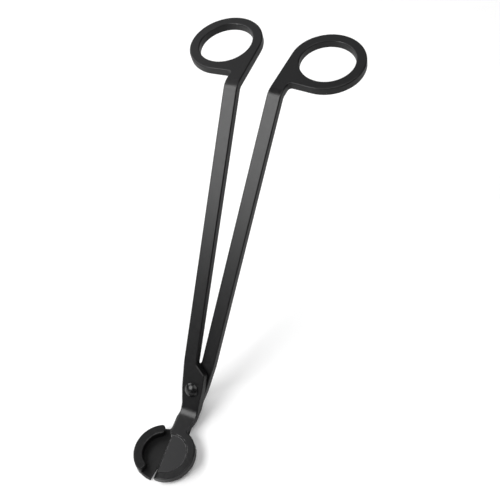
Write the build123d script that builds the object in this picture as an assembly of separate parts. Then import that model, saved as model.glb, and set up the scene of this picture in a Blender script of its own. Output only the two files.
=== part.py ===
from build123d import *
import os
from math import sin, cos, tan, radians, sqrt, hypot

# A candle wick trimmer: two bent steel levers riveted together like scissors.
# Origin: centre of the tray's flat underside. +Z up, handles toward +Y.
# All lengths in millimetres, all angles in degrees.

# ---- plate stock and clearances ----
plate = 3.2              # thickness of both levers along the shanks and rings
running_gap = 0.2        # between the two levers where they lie on each other
closed_overlap = 0.5     # width by which the upper shank lies over the lower one, closed
edge_round = 0.45        # rounding of the levers' long edges
hinge_clearance = 0.05   # radial, rivet shank in the blade lever

# ---- side profile, seen along X ----
shank_slope = 50.3       # shanks rise at this angle from the tray's plane
ring_slope = 8.8         # finger rings rise at this angle
neck_length = 6.5        # from the tray's arc to the corner where the shanks turn up
pivot_run = 10.2         # from that corner to the pivot, along the shank
shank_run = 117.9        # from the pivot to the corner before the rings
ring_reach = 20.3        # from that corner to the ring centre
blade_bend_radius = 5.3  # on the upper, hollow side of the blade lever's head bend
tray_bend_radius = 2.5   # the tray lever's is tighter, so the bends clear as they turn
ring_bend_radius = 2.0   # on the lower, hollow side of the ring bend

# ---- plan shape of a lever; its outer side is the one its ring sticks out to ----
shank_width = 5.5
pivot_half_width = 4.5
bend_half_outer = 3.5
bend_half_inner = 4.0
neck_half_width = 3.15
neck_shoulder = 1.5      # the neck starts to change width this far below the bend
neck_taper = 4.5         # and changes width over this length
flat_run = 0.6           # the levers start to widen this far above the bend
shoulder_low = 7.0       # where the pivot's broad part starts to narrow
shoulder_high = 10.6     # where the shank has its own width
shoulder_round = 1.5     # at the crotch between the shanks
outer_sweep = 25.0       # gentle curve on the outer side, where pivot plate meets shank
ring_hole_radius = 10.4
ring_band = 3.85
ring_root_round = 1.3    # hollow corner between a ring's foot and its shank

# ---- head ----
tray_radius = 11.0
floor_thickness = 1.5
rim_width = 3.6
rim_start = 116.0        # the rim runs from this angle round to rim_end
rim_end = 252.0
rim_corner = 1.1
rim_round = 0.4
tray_edge_x = 0.7        # straight lower cutting edge of the tray
tray_neck_side = 4.5     # right side of the tray lever's neck, beside the head
floor_inset = 0.3        # the floor's outline inside the rim's outer wall
tray_under_round = 0.6
blade_inset = 0.4        # the blade's radius is this much less than the tray's
blade_centre = (0.5, 0.2)      # centre of the blade's arc, closed
blade_thickness = 2.8
neck_thickness = 2.2     # blade lever between bend and blade
cutting_top_x = -1.8     # inner end of the cutting edge, closed
cutting_tip_x = 0.1      # its outer end, at the blade's arc
cutting_top_drop = 3.7   # inner end of the cutting edge, inside the blade's arc
neck_corner_drop = 1.9   # left corner of the neck above the blade, inside the arc
neck_root_round = 0.9    # hollow corner between neck and head
recess_border = 2.4      # flat border between the shallow recess and the blade's arc
recess_depth = 0.5
recess_slope = 0.5       # how far the recess's wall leans inward
bevel_width = 0.35       # of the ground bevel on the recess floor, at the inner end of the edge
bevel_slope = 36.0       # the bevel falls away toward the edge at this angle
bevel_fall = 0.45        # the bevel is sunk this much deeper at the tip, so it widens

# ---- rivet ----
rivet_radius = 1.6
rivet_head_lip = 1.25    # how far the head reaches past the rivet's shank
rivet_head_height = 1.15
rivet_tail_lip = 0.8
rivet_tail_height = 0.9
rivet_head_gap = 0.1     # under the head, so that the blade lever turns
rivet_rim = 0.25         # straight edge under each rounded end

# ---- posture ----
rest_opening = 5.4       # the levers stand this far open at rest

# ---- worked-out sizes and places ----
blade_radius = tray_radius - blade_inset
recess_radius = blade_radius - recess_border
rim_inner_radius = tray_radius - rim_width
cutting_top = (cutting_top_x, blade_radius - cutting_top_drop)
cutting_tip = (cutting_tip_x, blade_centre[1] - blade_radius)
neck_corner_y = blade_radius - neck_corner_drop
shank_offset = (shank_width - closed_overlap) / 2  # shank centre line from the pivot's axis
bend_y = tray_radius + neck_length
blade_bottom = floor_thickness + running_gap
head_top = blade_bottom + blade_thickness
stack_step = plate + running_gap
ring_outer_radius = ring_hole_radius + ring_band
ring_shift = ring_outer_radius - shank_width / 2   # ring's inner side flush with the shank's
rivet_head_radius = rivet_radius + rivet_head_lip
rivet_tail_radius = rivet_radius + rivet_tail_lip
blade_pad = blade_thickness / 2                    # lower part of the half disc, below its rounded edge
ring_lead = 2 * plate    # the rings' outlines start this far down the shanks
overrun = 3.0            # how far cutting shapes reach past what they cut
far = 60.0               # longer than any cut needs
aligned = 0.999          # two directions with a larger cosine than this count as the same

slope = radians(shank_slope)
rise = radians(ring_slope)
up_shank = (cos(slope), sin(slope))            # (Y, Z) along the shank
off_shank = (-sin(slope), cos(slope))          # (Y, Z) off its top face
along_ring = (cos(rise), sin(rise))
off_ring = (-sin(rise), cos(rise))
pivot = (bend_y + pivot_run * up_shank[0], head_top + pivot_run * up_shank[1])
ring_corner = (pivot[0] + shank_run * up_shank[0], pivot[1] + shank_run * up_shank[1])

# the blade lever's head bend is over here, measured along the shank from the pivot
half_bend = tan(radians(shank_slope / 2))
bend_end_top = blade_bend_radius * half_bend - pivot_run
under_corner = (plate * up_shank[0] - neck_thickness) / up_shank[1] - pivot_run
bend_end_under = (blade_bend_radius + neck_thickness) * half_bend + under_corner
shank_start = max(bend_end_top, bend_end_under) + flat_run


def moved(point, direction, distance):
    return (point[0] + direction[0] * distance, point[1] + direction[1] * distance)


def meet(p, d, q, e):
    # where the line from p along d crosses the line from q along e
    cross = d[0] * e[1] - d[1] * e[0]
    t = ((q[0] - p[0]) * e[1] - (q[1] - p[1]) * e[0]) / cross
    return (p[0] + d[0] * t, p[1] + d[1] * t)


def nearest(outline, place):
    return min(outline.vertices(), key=lambda v: hypot(v.X - place[0], v.Y - place[1]))


def shank_plane(drop=0.0):
    y, z = moved(pivot, off_shank, -drop)
    return Plane(origin=(0, y, z), x_dir=(1, 0, 0), z_dir=(0, off_shank[0], off_shank[1]))


def ring_plane(drop=0.0):
    y, z = moved(ring_corner, off_shank, -drop)
    return Plane(origin=(0, y, z), x_dir=(1, 0, 0), z_dir=(0, off_ring[0], off_ring[1]))


def side_band(drop, neck_top, neck_bottom, bend_radius):
    # the lever's bent side profile, drawn wide across X
    shank_top = moved(pivot, off_shank, -drop)
    shank_bottom = moved(shank_top, off_shank, -plate)
    ring_top = moved(ring_corner, off_shank, -drop)
    ring_bottom = moved(ring_top, off_ring, -plate)
    flat = (1.0, 0.0)
    start_y = -tray_radius - overrun
    reach = ring_reach + ring_outer_radius + overrun
    low_top = meet((0, neck_top), flat, shank_top, up_shank)
    low_bottom = meet((0, neck_bottom), flat, shank_bottom, up_shank)
    high_top = meet(shank_top, up_shank, ring_top, along_ring)
    high_bottom = meet(shank_bottom, up_shank, ring_bottom, along_ring)
    points = [
        (start_y, neck_top),
        low_top,
        high_top,
        moved(ring_top, along_ring, reach),
        moved(ring_bottom, along_ring, reach),
        high_bottom,
        low_bottom,
        (start_y, neck_bottom),
    ]
    profile = make_face(Polyline(*points, close=True))

    profile = fillet(nearest(profile, low_top), bend_radius)
    profile = fillet(nearest(profile, low_bottom), bend_radius + neck_top - neck_bottom)
    profile = fillet(nearest(profile, high_top), ring_bend_radius + plate)
    profile = fillet(nearest(profile, high_bottom), ring_bend_radius)
    return extrude(Plane.YZ * profile, amount=far, both=True)


def shank_outline(side):
    # pivot plate and shank in the shank plane; side is +1 or -1, the shank's side
    outer = shank_offset + shank_width / 2
    inner = shank_offset - shank_width / 2
    points = [
        (-bend_half_inner, shank_start),
        (-pivot_half_width, 0),
        (-pivot_half_width, shoulder_low),
        (inner, shoulder_high),
        (inner, shank_run),
        (outer, shank_run),
        (outer, shoulder_high),
        (pivot_half_width, 0),
        (bend_half_outer, shank_start),
    ]
    outline = make_face(Polyline(*[(side * x, y) for x, y in points], close=True))
    shoulders = [v for v in outline.vertices() if 0 < v.Y < shank_run / 2 and v.X * side < outer]
    outline = fillet(shoulders, shoulder_round)
    return fillet(nearest(outline, (side * outer, shoulder_high)), outer_sweep)


def ring_outline(side):
    # end of the bar, finger ring and the straight foot between them, in the ring plane
    outer = shank_offset + shank_width / 2
    inner = shank_offset - shank_width / 2
    centre_x = shank_offset + ring_shift
    foot_y = ring_reach - ring_outer_radius
    points = [
        (inner, -ring_lead),
        (outer, -ring_lead),
        (outer, foot_y),
        (centre_x, foot_y),
        (centre_x, ring_reach),
        (inner, ring_reach),
    ]
    centre = Pos(side * centre_x, ring_reach)
    bar = make_face(Polyline(*[(side * x, y) for x, y in points], close=True))
    outline = bar + centre * Circle(ring_outer_radius)
    outline = fillet(nearest(outline, (side * outer, foot_y)), ring_root_round)
    return outline - centre * Circle(ring_hole_radius)


def neck_side(drop, at_bend, at_head):
    # one side of a lever's neck, from the bend down to the head
    shank_foot = bend_y + (pivot_run + shank_start) * up_shank[0] - (drop + plate) * off_shank[0]
    wide = bend_y - neck_shoulder
    return [(at_bend, shank_foot + running_gap), (at_bend, wide), (at_head, wide - neck_taper)]


def half_disc():
    # the blade's half of the head, right of its cutting edge
    cut_side = make_face(Polyline(
        cutting_top, cutting_tip, (0, -far), (far, -far), (far, far),
        (0, far), (0, cutting_top[1]), close=True))
    return Pos(*blade_centre) * Circle(blade_radius) & cut_side


def blade_outline():
    left = neck_side(0.0, -bend_half_outer, -neck_half_width)
    right = neck_side(0.0, bend_half_inner, neck_half_width)
    neck = make_face(Polyline(
        *left, (-neck_half_width, neck_corner_y), cutting_top,
        (neck_half_width, cutting_top[1]), *reversed(right), close=True))
    outline = neck + half_disc()
    root_y = blade_centre[1] + sqrt(blade_radius ** 2 - (neck_half_width - blade_centre[0]) ** 2)
    return fillet(nearest(outline, (neck_half_width, root_y)), neck_root_round)


def tray_outline():
    # floor of the tray with its straight cutting edge, and the neck behind it
    left = neck_side(stack_step, -bend_half_inner, -neck_half_width)
    right = neck_side(stack_step, bend_half_outer, tray_neck_side)
    radius = tray_radius - floor_inset
    neck = make_face(Polyline(
        *left, (-neck_half_width, 0), (tray_edge_x, 0), (tray_edge_x, cutting_top[1]),
        (tray_neck_side, neck_corner_y), *reversed(right), close=True))
    floor = Circle(radius) & (Pos(tray_edge_x - far / 2, 0) * Rectangle(far, far))
    outline = neck + floor
    root_y = sqrt(radius ** 2 - neck_half_width ** 2)
    return fillet(nearest(outline, (-neck_half_width, root_y)), neck_root_round)


def rim_outline():
    # the raised rim, a part ring with rounded ends
    def spot(radius, angle):
        return (radius * cos(radians(angle)), radius * sin(radians(angle)))

    middle = (rim_start + rim_end) / 2
    outer = ThreePointArc(
        spot(tray_radius, rim_start), spot(tray_radius, middle), spot(tray_radius, rim_end))
    inner = ThreePointArc(
        spot(rim_inner_radius, rim_end), spot(rim_inner_radius, middle),
        spot(rim_inner_radius, rim_start))
    ends = [Line(outer @ 1, inner @ 0), Line(inner @ 1, outer @ 0)]
    rim = make_face([outer, ends[0], inner, ends[1]])
    return fillet(rim.vertices(), rim_corner)


def lever_blank(side, drop, neck_top, neck_bottom, bend_radius, head_outline):
    # bent strip of the lever's side profile, trimmed to its outline plane by plane
    strip = side_band(drop, neck_top, neck_bottom, bend_radius)
    deep = plate + overrun
    trim = Pos(0, 0, -overrun) * extrude(head_outline, amount=far)
    trim += extrude(shank_plane(drop) * shank_outline(side), amount=deep, both=True)
    trim += extrude(ring_plane(drop) * ring_outline(side), amount=deep, both=True)
    return strip & trim


def long_edges(body):
    # edges along the outline, without those across the bends and those through the plate
    through = [Vector(0, 0, 1), Vector(0, *off_shank), Vector(0, *off_ring)]
    picked = []
    for edge in body.edges():
        run = edge.tangent_at(0.5)
        straight = edge.geom_type == GeomType.LINE
        middle = abs(edge.center().X) < (shank_offset + shank_width) / 2
        across = straight and abs(run.X) > aligned and middle
        walls = straight and any(abs(run.dot(d)) > aligned for d in through)
        if not across and not walls:
            picked.append(edge)
    return picked


def pivot_hole(radius):
    return extrude(shank_plane() * Circle(radius), amount=far, both=True)


def bevel_tool():
    # long wedge that grinds the top of the cutting edge, deeper toward the tip
    run = Vector(*cutting_tip, -bevel_fall) - Vector(*cutting_top)
    inward = Vector(0, 0, 1).cross(run)
    start = head_top - recess_depth
    frame = Plane(origin=(*cutting_top, start), x_dir=inward, z_dir=run)
    up = 1 if frame.y_dir.Z > 0 else -1
    fall = tan(radians(bevel_slope))
    wide = bevel_width + overrun
    wedge = make_face(Polyline(
        (-overrun, -up * (overrun + bevel_width) * fall), (wide, up * overrun * fall),
        (-overrun, up * overrun * fall), close=True))
    return extrude(frame * wedge, amount=far)


def recess_tool():
    # shallow dish with a leaning wall, sunk into the blade's top
    return Pos(0, 0, head_top) * Cone(
        recess_radius - recess_slope, recess_radius + recess_slope, 2 * recess_depth)


def blade_lever():
    neck_bottom = head_top - neck_thickness
    body = lever_blank(-1, 0.0, head_top, neck_bottom, blade_bend_radius, blade_outline())
    # the cutting edge stays sharp
    outside = [e for e in long_edges(body) if e.center().Y > neck_corner_y or e.center().X > tray_edge_x]
    body = fillet(outside, edge_round)
    # the half disc is thicker than the neck and reaches down to the tray's floor
    pad = extrude(half_disc(), amount=blade_pad)
    body += Pos(0, 0, blade_bottom) * pad
    body -= recess_tool()
    body -= bevel_tool()
    body -= pivot_hole(rivet_radius + hinge_clearance)
    opened = Axis(shank_plane().origin, shank_plane().z_dir)
    return body.rotate(opened, rest_opening)


def tray_lever():
    body = lever_blank(1, stack_step, floor_thickness, 0.0, tray_bend_radius, tray_outline())
    # the floor's own edges stay square
    edges = [e for e in long_edges(body) if e.center().Y > tray_radius]
    body = fillet(edges, edge_round)
    rim = extrude(rim_outline(), amount=head_top)
    rim = fillet(rim.faces().sort_by(Axis.Z)[-1].edges(), rim_round)
    under = rim.faces().sort_by(Axis.Z)[0].edges().filter_by(GeomType.CIRCLE)
    outside = [e for e in under if abs(e.radius - tray_radius) < floor_inset]
    rim = fillet(outside, tray_under_round)
    body += rim
    body -= pivot_hole(rivet_radius)
    return body


def pivot_rivet():
    # domed head on the blade lever, shank through both, peened tail under the tray lever
    def dome(radius, height):
        return (radius ** 2 + height ** 2) / (2 * height)

    head_base = rivet_head_gap
    tail_base = -(stack_step + plate)
    head_edge = head_base + rivet_rim
    tail_edge = tail_base - rivet_rim
    head_arc = RadiusArc(
        (rivet_head_radius, head_edge), (0, head_edge + rivet_head_height),
        -dome(rivet_head_radius, rivet_head_height))
    tail_arc = RadiusArc(
        (0, tail_edge - rivet_tail_height), (rivet_tail_radius, tail_edge),
        -dome(rivet_tail_radius, rivet_tail_height))
    outline = [
        head_arc,
        Polyline((0, head_edge + rivet_head_height), (0, tail_edge - rivet_tail_height)),
        tail_arc,
        Polyline((rivet_tail_radius, tail_edge), (rivet_tail_radius, tail_base),
                 (rivet_radius, tail_base), (rivet_radius, head_base),
                 (rivet_head_radius, head_base), (rivet_head_radius, head_edge)),
    ]
    section = Plane.XZ * make_face(outline)
    return shank_plane() * revolve(section, Axis.Z)


if __name__ == "__main__":
    os.makedirs("parts", exist_ok=True)
    pieces = {
        "tray_lever": tray_lever(),
        "blade_lever": blade_lever(),
        "pivot_rivet": pivot_rivet(),
    }
    for name, piece in pieces.items():
        export_step(piece, f"parts/{name}.step")
        print(name, round(piece.volume, 1), "mm3, valid", piece.is_valid)
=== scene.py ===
import bpy
import math
from mathutils import Matrix, Vector

print("stage: frame")
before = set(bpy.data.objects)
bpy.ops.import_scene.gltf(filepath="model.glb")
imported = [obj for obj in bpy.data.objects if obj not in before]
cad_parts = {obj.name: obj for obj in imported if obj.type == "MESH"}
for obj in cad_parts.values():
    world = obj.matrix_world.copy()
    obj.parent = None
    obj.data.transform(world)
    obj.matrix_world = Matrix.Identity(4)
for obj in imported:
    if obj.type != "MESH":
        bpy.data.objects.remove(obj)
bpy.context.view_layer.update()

for shown in bpy.context.selected_objects:
    shown.select_set(False)


def hexColour(code):
    # sRGB hex to linear, with full opacity
    parts = [int(code[i:i + 2], 16) / 255 for i in (1, 3, 5)]
    linear = [c / 12.92 if c <= 0.04045 else ((c + 0.055) / 1.055) ** 2.4 for c in parts]
    return (*linear, 1.0)


def addNode(tree, kind, sockets=None, **settings):
    # one node with its settings; each socket takes a value or another node's output
    # (a colour mix has its colours at 6 and 7 and its result at 2, a value mix uses 2, 3 and 0)
    node = tree.nodes.new(kind)
    for name, value in settings.items():
        setattr(node, name, value)
    for socket, value in (sockets or {}).items():
        if isinstance(value, bpy.types.NodeSocket):
            tree.links.new(value, node.inputs[socket])
        else:
            node.inputs[socket].default_value = value
    return node


def startMaterial(name):
    material = bpy.data.materials.new(name)
    material.use_nodes = True
    tree = material.node_tree
    tree.nodes.clear()
    shader = addNode(tree, "ShaderNodeBsdfPrincipled")
    addNode(tree, "ShaderNodeOutputMaterial", {"Surface": shader.outputs["BSDF"]})
    return material, tree, shader


# steel plate with a satin black electro-coat: nearly black with a soft sheen, and a faint
# orange-peel ripple that breaks up long reflections
coat = {
    "base": "#0b0b0c",
    "mottle": "#131314",
    "roughness": 0.32,
    "roughnessSpread": 0.04,
    "rippleMm": 1.1,
    "rippleDetail": 3.0,
    "rippleRoughness": 0.6,
    "rippleLow": 0.3,            # the ripple is least rough under this value of the noise
    "rippleHigh": 0.7,           # and roughest over this one
    "grainMm": 0.22,
    "grainDetail": 2.0,
    "grainHeightMm": 0.006,
    "grainStrength": 0.35,
    "reflection": 1.4,           # index of refraction of a thin paint
    "specular": 0.5,
}

# walls cut through the plate stay rough under the coat, so they look duller than its faces
cutWall = {
    "colour": "#060607",
    "roughness": 0.5,
    "specular": 0.38,
    "shankSlope": 50.3,          # of the plate along the shanks
    "endSlope": 5.0,             # about that of the rings and the head
    "faceCosine": 0.85,          # a face looks off the plate over this
    "wallCosine": 0.60,          # and is a wall under this
}

# grey on the edges: steel where the coat is rubbed off the handles' edges, and on the head mostly painted
# highlight, grey glints painted along its edges
wearAndGlint = {
    "colour": "#8c8c8c",
    "edgeMm": 0.35,
    "edgeSamples": 4,
    "edgeStart": 0.99,           # cosine between the rounded and the true normal
    "edgeFull": 0.90,
    "patchStart": 0.42,          # value of the ripple's noise
    "patchFull": 0.60,
    "patchLeast": 0.1,
    # how grey the edges are: light wear on the handles, painted glints on the head
    "handles": 0.05,
    "head": 0.9,
    "headMm": (0.0, 6.0),
    "headRadiusMm": 6.0,
    "headFadeMm": 10.0,
}

# painted light: the blade's sunk face painted a little lighter than the rest, as if lit
bladeFace = {"centreMm": (2.0, 0.0), "radiusMm": 7.7, "fadeMm": 0.5, "colour": "#1c1c1d", "roughness": 0.40}

# the dish in the tray, rougher and painted darker as painted shade under the rim and blade, and darker still
# along the cutting line as a painted shadow
dish = {
    "centreMm": (0.0, 0.0),
    "radiusMm": 7.4,
    "fadeMm": 0.8,
    "paintedDishShade": 0.55,
    "edgeShadowRadiusMm": 11.0,
    "edgeShadowStartMm": -2.6,         # no painted shadow to the left of this
    "edgeShadowFullMm": -0.4,
    "floorMm": 1.6,
    "levelFadeMm": 0.3,
    "cornerMm": 2.2,             # no grey edge in the rim's foot, below this
    "colour": "#020202",
    "roughness": 0.46,
}

rivetFinish = {"gloss": 0.08}


def roundPatch(tree, place, centreMm, radiusMm, fadeMm):
    # 1 inside a circle seen from above, falling to 0 over the fade
    centre = (centreMm[0] / 1000, centreMm[1] / 1000, 0)
    shifted = addNode(tree, "ShaderNodeVectorMath", {0: place, 1: centre}, operation="SUBTRACT").outputs[0]
    flat = addNode(tree, "ShaderNodeVectorMath", {0: shifted, 1: (1, 1, 0)}, operation="MULTIPLY").outputs[0]
    away = addNode(tree, "ShaderNodeVectorMath", {0: flat}, operation="LENGTH").outputs["Value"]
    return addNode(tree, "ShaderNodeMapRange", {
        "Value": away,
        "From Min": (radiusMm + fadeMm) / 1000,
        "From Max": radiusMm / 1000,
    }).outputs["Result"]


def belowLevel(tree, place, levelMm, fadeMm):
    # 1 under a height, falling to 0 over the fade
    height = addNode(tree, "ShaderNodeSeparateXYZ", {"Vector": place}).outputs["Z"]
    return addNode(tree, "ShaderNodeMapRange", {
        "Value": height,
        "From Min": (levelMm + fadeMm) / 1000,
        "From Max": levelMm / 1000,
    }).outputs["Result"]


def wallMask(tree, faceNormal):
    # 1 on walls cut through the plate, 0 where a face looks straight off it
    offPlate = []
    for slope in (cutWall["shankSlope"], cutWall["endSlope"]):
        tilt = math.radians(slope)
        plateNormal = (0, -math.sin(tilt), math.cos(tilt))
        cosine = addNode(
            tree, "ShaderNodeVectorMath", {0: faceNormal, 1: plateNormal}, operation="DOT_PRODUCT")
        offPlate.append(addNode(
            tree, "ShaderNodeMath", {0: cosine.outputs["Value"]}, operation="ABSOLUTE").outputs["Value"])
    closest = addNode(tree, "ShaderNodeMath", {0: offPlate[0], 1: offPlate[1]}, operation="MAXIMUM")
    return addNode(tree, "ShaderNodeMapRange", {
        "Value": closest.outputs["Value"],
        "From Min": cutWall["faceCosine"],
        "From Max": cutWall["wallCosine"],
    }).outputs["Result"]


def edgeMask(tree, place, faceNormal, ripple, plainEdgesBelowMm):
    # grey edges where a rounded normal turns away from the true one, broken up by the ripple: wear on the
    # handles, painted glints on the head
    rounded = addNode(tree, "ShaderNodeBevel", {"Radius": wearAndGlint["edgeMm"] / 1000}, samples=wearAndGlint["edgeSamples"])
    turned = addNode(tree, "ShaderNodeVectorMath", {
        0: rounded.outputs["Normal"], 1: faceNormal}, operation="DOT_PRODUCT")
    edge = addNode(tree, "ShaderNodeMapRange", {
        "Value": turned.outputs["Value"],
        "From Min": wearAndGlint["edgeStart"],
        "From Max": wearAndGlint["edgeFull"],
    }).outputs["Result"]
    patches = addNode(tree, "ShaderNodeMapRange", {
        "Value": ripple,
        "From Min": wearAndGlint["patchStart"],
        "From Max": wearAndGlint["patchFull"],
        "To Min": wearAndGlint["patchLeast"],
    }).outputs["Result"]
    head = roundPatch(tree, place, wearAndGlint["headMm"], wearAndGlint["headRadiusMm"], wearAndGlint["headFadeMm"])
    amount = addNode(tree, "ShaderNodeMix", {
        "Factor": head, 2: wearAndGlint["handles"], 3: wearAndGlint["head"]}, data_type="FLOAT").outputs[0]
    broken = addNode(tree, "ShaderNodeMath", {0: edge, 1: patches}, operation="MULTIPLY").outputs["Value"]
    wearAndGlintEdge = addNode(tree, "ShaderNodeMath", {0: broken, 1: amount}, operation="MULTIPLY").outputs["Value"]
    if plainEdgesBelowMm is None:
        return wearAndGlintEdge
    low = belowLevel(tree, place, plainEdgesBelowMm, dish["levelFadeMm"])
    above = addNode(tree, "ShaderNodeMath", {0: 1.0, 1: low}, operation="SUBTRACT").outputs["Value"]
    return addNode(tree, "ShaderNodeMath", {0: wearAndGlintEdge, 1: above}, operation="MULTIPLY").outputs["Value"]


# painted light on the blade's sunk face
def bladePatch(tree, place):
    return roundPatch(tree, place, bladeFace["centreMm"], bladeFace["radiusMm"], bladeFace["fadeMm"])


# painted shade over the tray's dish and a darker painted shadow along the cutting line, on the dish's floor
# only
def dishPatch(tree, place):
    inside = roundPatch(tree, place, dish["centreMm"], dish["radiusMm"], dish["fadeMm"])
    paintedDishShade = addNode(tree, "ShaderNodeMath", {0: inside, 1: dish["paintedDishShade"]}, operation="MULTIPLY").outputs["Value"]
    across = addNode(tree, "ShaderNodeSeparateXYZ", {"Vector": place}).outputs["X"]
    nearEdge = addNode(tree, "ShaderNodeMapRange", {
        "Value": across,
        "From Min": dish["edgeShadowStartMm"] / 1000,
        "From Max": dish["edgeShadowFullMm"] / 1000,
    }).outputs["Result"]
    head = roundPatch(tree, place, dish["centreMm"], dish["edgeShadowRadiusMm"], dish["fadeMm"])
    paintedEdgeShadow = addNode(tree, "ShaderNodeMath", {0: nearEdge, 1: head}, operation="MULTIPLY").outputs["Value"]
    both = addNode(tree, "ShaderNodeMath", {0: paintedDishShade, 1: paintedEdgeShadow}, operation="MAXIMUM").outputs["Value"]
    low = belowLevel(tree, place, dish["floorMm"], dish["levelFadeMm"])
    return addNode(tree, "ShaderNodeMath", {0: both, 1: low}, operation="MULTIPLY").outputs["Value"]


def blackCoat(name, patchMask=None, patch=None, gloss=0.0, plainEdgesBelowMm=None):
    material, tree, shader = startMaterial(name)
    place = addNode(tree, "ShaderNodeTexCoord").outputs["Object"]
    faceNormal = addNode(tree, "ShaderNodeNewGeometry").outputs["Normal"]
    ripple = addNode(tree, "ShaderNodeTexNoise", {
        "Vector": place,
        "Scale": 1000 / coat["rippleMm"],
        "Detail": coat["rippleDetail"],
        "Roughness": coat["rippleRoughness"],
    }).outputs["Fac"]
    grain = addNode(tree, "ShaderNodeTexNoise", {
        "Vector": place,
        "Scale": 1000 / coat["grainMm"],
        "Detail": coat["grainDetail"],
    }).outputs["Fac"]
    colour = addNode(tree, "ShaderNodeMix", {
        "Factor": ripple, 6: hexColour(coat["base"]), 7: hexColour(coat["mottle"])},
        data_type="RGBA").outputs[2]
    rough = addNode(tree, "ShaderNodeMapRange", {
        "Value": ripple,
        "From Min": coat["rippleLow"],
        "From Max": coat["rippleHigh"],
        "To Min": coat["roughness"] - gloss - coat["roughnessSpread"],
        "To Max": coat["roughness"] - gloss + coat["roughnessSpread"],
    }).outputs["Result"]

    # a painted patch on the plate's faces first (painted light on the blade's sunk face, painted shade in the
    # tray's dish), then the walls, then the grey edges (wear on the handles, painted glints on the head)
    layers = [(wallMask(tree, faceNormal), cutWall)]
    if patch:
        layers.insert(0, (patchMask(tree, place), patch))
    for mask, finish in layers:
        colour = addNode(tree, "ShaderNodeMix", {
            "Factor": mask, 6: colour, 7: hexColour(finish["colour"])}, data_type="RGBA").outputs[2]
        rough = addNode(tree, "ShaderNodeMix", {
            "Factor": mask, 2: rough, 3: finish["roughness"]}, data_type="FLOAT").outputs[0]
    specular = addNode(tree, "ShaderNodeMix", {
        "Factor": layers[-1][0], 2: coat["specular"], 3: cutWall["specular"]}, data_type="FLOAT").outputs[0]
    wearAndGlintEdge = edgeMask(tree, place, faceNormal, ripple, plainEdgesBelowMm)
    # grey on the edges: wear on the handles, painted glints on the head
    colour = addNode(tree, "ShaderNodeMix", {
        "Factor": wearAndGlintEdge, 6: colour, 7: hexColour(wearAndGlint["colour"])}, data_type="RGBA").outputs[2]
    bump = addNode(tree, "ShaderNodeBump", {
        "Height": grain, "Strength": coat["grainStrength"], "Distance": coat["grainHeightMm"] / 1000})

    tree.links.new(colour, shader.inputs["Base Color"])
    tree.links.new(rough, shader.inputs["Roughness"])
    tree.links.new(specular, shader.inputs["Specular IOR Level"])
    tree.links.new(bump.outputs["Normal"], shader.inputs["Normal"])
    shader.inputs["IOR"].default_value = coat["reflection"]
    return material


print("stage: materials")
finishes = {
    "blade_lever": blackCoat("satin black electro-coat on steel, blade lever", bladePatch, bladeFace),
    "tray_lever": blackCoat(
        "satin black electro-coat on steel, tray lever", dishPatch, dish, plainEdgesBelowMm=dish["cornerMm"]),
    "pivot_rivet": blackCoat("semi-gloss black coat on the steel rivet", gloss=rivetFinish["gloss"]),
}
for name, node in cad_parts.items():
    node.data.materials.clear()
    node.data.materials.append(finishes[name])

print("stage: studio")
# the levers stand on the tray, on a wide pale table
studio = {
    "tableHalf": 1.5,
    "tableColour": "#f8f8f8",
    "tableRoughness": 0.8,
    "middle": (0, 0.06, 0.05),   # the lights aim here
    "roomGlow": 0.05,
}
bpy.ops.mesh.primitive_plane_add(size=2 * studio["tableHalf"], location=(0, 0, 0))
table = bpy.context.object
table.name = "paleTable"
tableMaterial, tableTree, tableShader = startMaterial("matt white table")
tableShader.inputs["Base Color"].default_value = hexColour(studio["tableColour"])
tableShader.inputs["Roughness"].default_value = studio["tableRoughness"]
table.data.materials.append(tableMaterial)


def roundLight(name, towards, distance, size, radiance):
    # a round soft source at a distance from the tool's middle, aimed at it, with an even glow
    middle = Vector(studio["middle"])
    spot = middle + Vector(towards).normalized() * distance
    data = bpy.data.lights.new(name, "AREA")
    data.shape = "ELLIPSE"
    data.size = size
    data.size_y = size
    data.energy = radiance * math.pi * (math.pi / 4 * size * size)
    light = bpy.data.objects.new(name, data)
    turn = (middle - spot).to_track_quat("-Z", "Y").to_matrix().to_4x4()
    light.matrix_world = Matrix.Translation(spot) @ turn
    bpy.context.scene.collection.objects.link(light)


# name, direction, distance and width in metres, radiance
roundLight("topSoftbox", (0.45, -0.05, 1.0), 1.3, 1.3, 2.4)
roundLight("leftFill", (-0.90, 0.10, 0.60), 1.4, 1.0, 4.2)
roundLight("backLeftFill", (-0.55, 0.75, 0.80), 1.4, 1.0, 0.5)
roundLight("frontSoftbox", (-0.42, -0.60, 0.70), 1.0, 0.72, 7.2)

world = bpy.data.worlds.new("studio")
bpy.context.scene.world = world
world.use_nodes = True
background = world.node_tree.nodes["Background"]
background.inputs["Color"].default_value = (1, 1, 1, 1)
background.inputs["Strength"].default_value = studio["roomGlow"]
# plain display of the light, so that a white table stays white
bpy.context.scene.view_settings.view_transform = "Standard"

print("stage: camera")
# seen from in front of the tray, to its right and above, with a slight tilt
view = {
    "target": (-0.01763, 0.10284, 0.0045),
    "azimuth": 34.35,
    "elevation": 48.65,
    "tilt": -7.66,
    "distance": 0.33676,
    "lens": 51.86,
    "sensor": 36,
    "nearest": 0.01,
}
azimuth, elevation = math.radians(view["azimuth"]), math.radians(view["elevation"])
away = Vector((
    math.sin(azimuth) * math.cos(elevation), -math.cos(azimuth) * math.cos(elevation), math.sin(elevation)))
right = Vector((math.cos(azimuth), math.sin(azimuth), 0))
tilted = Matrix.Rotation(-math.radians(view["tilt"]), 3, -away) @ right
cameraUp = away.cross(tilted)
cameraData = bpy.data.cameras.new("camera")
cameraData.sensor_width = view["sensor"]
cameraData.lens = view["lens"]
cameraData.clip_start = view["nearest"]
camera = bpy.data.objects.new("camera", cameraData)
turn = Matrix((tilted, cameraUp, away)).transposed().to_4x4()
camera.matrix_world = Matrix.Translation(Vector(view["target"]) + away * view["distance"]) @ turn
bpy.context.scene.collection.objects.link(camera)
bpy.context.scene.camera = camera

print("stage: sizes")
